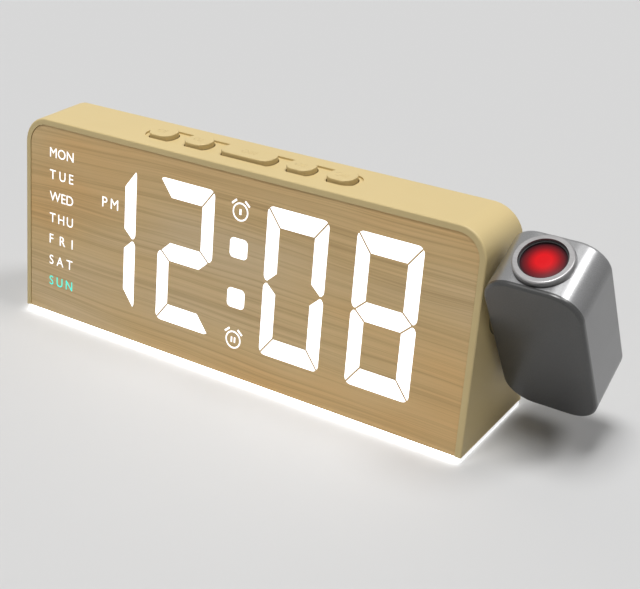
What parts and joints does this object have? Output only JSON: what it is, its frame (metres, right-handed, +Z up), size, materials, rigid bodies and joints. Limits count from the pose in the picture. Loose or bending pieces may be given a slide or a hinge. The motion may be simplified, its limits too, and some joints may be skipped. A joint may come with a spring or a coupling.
{
  "type": "projection alarm clock",
  "caption": "Projection alarm clock with a wood-look digital face, a glowing base strip, top buttons and a tilting projector head.",
  "frame": {"origin": "middle of the underside of the base, on the resting surface", "axes": "+X to the clock's right seen from the front, +Y to the back, +Z up"},
  "size_m": [0.2004, 0.0408, 0.0695],
  "materials": {
    "housing_plastic": "satin beige",
    "wood_face": "wood film over plastic",
    "lit_white": "translucent, lit from inside",
    "white_plastic": "matt white",
    "circuit_board": "green solder mask",
    "lamp_chip": "clear resin",
    "black_plastic": "matt black",
    "nylon": "dark nylon",
    "screw_steel": "plated",
    "cable_skin": "flexible sleeve",
    "rubber": "matt",
    "silver_shell": "silver lacquer over plastic",
    "dark_plate": "dark silver lacquer",
    "silver_ring": "silver lacquer over plastic",
    "red_lens": "clear glass, lit red from inside",
    "clear_lens": "clear glass"
  },
  "bodies": {
    "clock_body": {"housing_shell": "housing_plastic", "wood_face_panel": "wood_face", "lit_segments": "lit_white", "diffuser_film": "white_plastic", "light_box": "white_plastic", "display_leds": "lamp_chip", "display_board": "circuit_board", "tact_switches": "black_plastic", "button_board": "circuit_board", "board_screws": "screw_steel", "chips": "black_plastic", "rear_cover": "housing_plastic", "rear_screws": "screw_steel", "coin_cell_holder": "black_plastic", "coin_cell": "screw_steel", "cell_contact": "screw_steel", "main_board": "circuit_board", "usb_inlet": "screw_steel", "buzzer": "black_plastic", "base_tray": "black_plastic", "lamp_board": "circuit_board", "lamp_leds": "lamp_chip", "night_light_strip": "lit_white", "rubber_feet": "rubber", "base_screws": "screw_steel", "board_sockets": "black_plastic", "display_ribbon": "cable_skin", "head_cable": "cable_skin", "pivot_bush": "nylon"},
    "projector_head": {"pivot_shaft": "silver_shell", "pivot_pad": "nylon", "pivot_spring_washer": "screw_steel", "pivot_clip": "screw_steel", "head_shell": "silver_shell", "head_front_plate": "dark_plate", "optics_frame": "black_plastic", "optics_screws": "screw_steel", "lcd_slide": "clear_lens", "condenser_lens": "clear_lens", "projector_led": "lamp_chip", "led_board": "circuit_board", "head_board": "circuit_board", "cable_plug": "black_plastic"},
    "focus_ring": {"focus_ring": "silver_ring"},
    "lens_barrel": {"lens_barrel": "black_plastic", "objective_lens": "red_lens", "inner_lens": "clear_lens"},
    "battery_door": {"battery_door": "housing_plastic"},
    "button_1": {"button_1_cap": "housing_plastic", "button_1_plunger": "black_plastic"},
    "button_2": {"button_2_cap": "housing_plastic", "button_2_plunger": "black_plastic"},
    "snooze_button": {"snooze_button_cap": "housing_plastic", "snooze_button_plunger": "black_plastic"},
    "button_4": {"button_4_cap": "housing_plastic", "button_4_plunger": "black_plastic"},
    "button_5": {"button_5_cap": "housing_plastic", "button_5_plunger": "black_plastic"}
  },
  "joints": [
    {"name": "head_tilt", "type": "hinge", "parent": "clock_body", "child": "projector_head", "pos_m": [0.10145, 0, 0.0405], "axis": [1, 0, 0], "range_deg": [-116.75, 63.25]},
    {"name": "focus_turn", "type": "hinge", "parent": "projector_head", "child": "focus_ring", "pos_m": [0.10145, 0, 0.0405], "axis": [0, -0.4501, 0.893], "range_deg": [-137.7, 137.7]},
    {"name": "lens_travel", "type": "slide", "parent": "projector_head", "child": "lens_barrel", "axis": [0, -0.4501, 0.893], "range_m": [-0.00075, 0.00075]},
    {"name": "door_turn", "type": "hinge", "parent": "clock_body", "child": "battery_door", "pos_m": [-0.012, 0.01478, 0.03266], "axis": [0, 0.99, 0.141], "range_deg": [0, 40]},
    {"name": "button_1_press", "type": "slide", "parent": "clock_body", "child": "button_1", "axis": [0, 0, -1], "range_m": [0, 0.0005], "stiffness_N_per_m": 600, "springref_m": -0.0005},
    {"name": "button_2_press", "type": "slide", "parent": "clock_body", "child": "button_2", "axis": [0, 0, -1], "range_m": [0, 0.0005], "stiffness_N_per_m": 600, "springref_m": -0.0005},
    {"name": "snooze_button_press", "type": "slide", "parent": "clock_body", "child": "snooze_button", "axis": [0, 0, -1], "range_m": [0, 0.0005], "stiffness_N_per_m": 600, "springref_m": -0.0005},
    {"name": "button_4_press", "type": "slide", "parent": "clock_body", "child": "button_4", "axis": [0, 0, -1], "range_m": [0, 0.0005], "stiffness_N_per_m": 600, "springref_m": -0.0005},
    {"name": "button_5_press", "type": "slide", "parent": "clock_body", "child": "button_5", "axis": [0, 0, -1], "range_m": [0, 0.0005], "stiffness_N_per_m": 600, "springref_m": -0.0005}
  ],
  "couplings": [
    {"joint": "focus_turn", "follows": "lens_travel", "rad_per_m": 3141.6}
  ]
}
